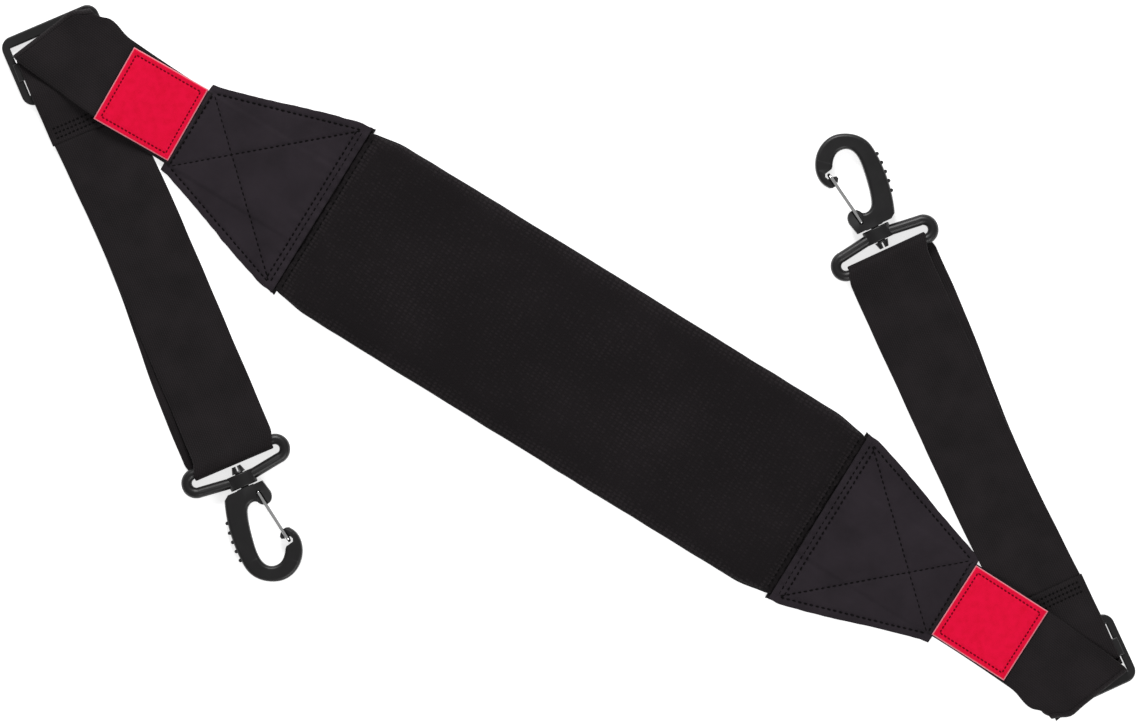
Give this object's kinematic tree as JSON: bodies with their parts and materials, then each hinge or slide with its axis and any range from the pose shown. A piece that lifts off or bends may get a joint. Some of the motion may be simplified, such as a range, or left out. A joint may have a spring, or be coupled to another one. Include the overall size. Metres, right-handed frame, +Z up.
{
  "type": "padded shoulder carrying strap",
  "caption": "Padded shoulder strap with tapered ends, webbing arms folded back beside the pad, tri-glide sliders and swivel wire-gate snap hooks.",
  "frame": {"origin": "centre of the pad's underside, on the surface it lies on", "axes": "+X along the pad's length, +Z up out of the pad's top face, arms folded back in the XY plane"},
  "size_m": [0.7637, 0.4081, 0.0117],
  "materials": {
    "mesh_fabric": "knitted mesh, matt black",
    "lining_fabric": "plain woven, matt black",
    "panel_fabric": "plain woven, matt black with a purple cast",
    "foam": "closed-cell foam",
    "webbing": "heavy flat woven webbing, black",
    "thread": "bonded sewing thread, black",
    "label_fabric": "bright red woven label",
    "label_thread": "dark red sewing thread",
    "moulded_plastic": "black moulded acetal, fine satin",
    "wire_steel": "polished stainless spring wire"
  },
  "bodies": {
    "pad": {"pad_lining": "lining_fabric", "core_webbing": "webbing", "pad_foam": "foam", "pad_cover": "mesh_fabric", "left_end_panel_under": "lining_fabric", "left_end_panel_top": "panel_fabric", "left_cross_stitching": "thread", "left_strand": "webbing", "left_label": "label_fabric", "left_label_stitching": "label_thread", "right_end_panel_under": "lining_fabric", "right_end_panel_top": "panel_fabric", "right_cross_stitching": "thread", "right_strand": "webbing", "right_label": "label_fabric", "right_label_stitching": "label_thread"},
    "left_turn": {"left_strand_turn": "webbing"},
    "left_slider": {"left_slider": "moulded_plastic", "left_slider_webbing": "webbing", "left_sewn_loop": "webbing", "left_tail_stitching": "thread"},
    "left_arm": {"left_arm_under": "webbing", "left_arm_upper": "webbing", "left_arm_bight": "webbing"},
    "left_loop": {"left_loop": "moulded_plastic"},
    "left_hook": {"left_hook": "moulded_plastic"},
    "left_gate": {"left_gate": "wire_steel"},
    "right_turn": {"right_strand_turn": "webbing"},
    "right_slider": {"right_slider": "moulded_plastic", "right_slider_webbing": "webbing", "right_sewn_loop": "webbing", "right_tail_stitching": "thread"},
    "right_arm": {"right_arm_under": "webbing", "right_arm_upper": "webbing", "right_arm_bight": "webbing"},
    "right_loop": {"right_loop": "moulded_plastic"},
    "right_hook": {"right_hook": "moulded_plastic"},
    "right_gate": {"right_gate": "wire_steel"}
  },
  "joints": [
    {"name": "left_strand_slide", "type": "slide", "parent": "pad", "child": "left_turn", "axis": [-0.9936, 0.1129, 0], "range_m": [0, 0.36], "deforming": ["left_strand"]},
    {"name": "left_fold", "type": "hinge", "parent": "left_turn", "child": "left_slider", "pos_m": [-0.363, 0.005, 0.0079], "axis": [0.3562, 0.9344, 0], "range_deg": [0, 180], "deforming": ["left_strand_turn"]},
    {"name": "left_arm_slide", "type": "slide", "parent": "left_slider", "child": "left_arm", "axis": [0.8166, -0.5771, 0], "range_m": [-0.18, 0], "deforming": ["left_arm_under", "left_arm_upper"]},
    {"name": "left_loop_pivot", "type": "hinge", "parent": "left_arm", "child": "left_loop", "pos_m": [-0.14099, -0.15163, 0.0055], "axis": [0.57, 0.8216, 0], "range_deg": [-75, 75]},
    {"name": "left_hook_swivel", "type": "hinge", "parent": "left_loop", "child": "left_hook", "pos_m": [-0.12883, -0.16007, 0.0055], "axis": [0.8216, -0.57, 0], "continuous": true},
    {"name": "left_gate_hinge", "type": "hinge", "parent": "left_hook", "child": "left_gate", "pos_m": [-0.11665, -0.1611, 0.0055], "axis": [0, 0, -1], "range_deg": [0, 28], "stiffness_Nm_per_rad": 0.12, "springref_deg": -17.19},
    {"name": "right_strand_slide", "type": "slide", "parent": "pad", "child": "right_turn", "axis": [0.9936, -0.1129, 0], "range_m": [0, 0.36], "deforming": ["right_strand"]},
    {"name": "right_fold", "type": "hinge", "parent": "right_turn", "child": "right_slider", "pos_m": [0.363, -0.005, 0.0079], "axis": [-0.3431, -0.9393, 0], "range_deg": [0, 180], "deforming": ["right_strand_turn"]},
    {"name": "right_arm_slide", "type": "slide", "parent": "right_slider", "child": "right_arm", "axis": [-0.8324, 0.5541, 0], "range_m": [-0.18, 0], "deforming": ["right_arm_under", "right_arm_upper"]},
    {"name": "right_loop_pivot", "type": "hinge", "parent": "right_arm", "child": "right_loop", "pos_m": [0.12669, 0.15198, 0.0055], "axis": [-0.5454, -0.8382, 0], "range_deg": [-75, 75]},
    {"name": "right_hook_swivel", "type": "hinge", "parent": "right_loop", "child": "right_hook", "pos_m": [0.11429, 0.16005, 0.0055], "axis": [-0.8382, 0.5454, 0], "continuous": true},
    {"name": "right_gate_hinge", "type": "hinge", "parent": "right_hook", "child": "right_gate", "pos_m": [0.10207, 0.16072, 0.0055], "axis": [0, 0, -1], "range_deg": [0, 28], "stiffness_Nm_per_rad": 0.12, "springref_deg": -17.19}
  ],
  "couplings": [
    {"joint": "left_arm_slide", "follows": "left_strand_slide", "ratio": -0.5},
    {"joint": "right_arm_slide", "follows": "right_strand_slide", "ratio": -0.5}
  ]
}
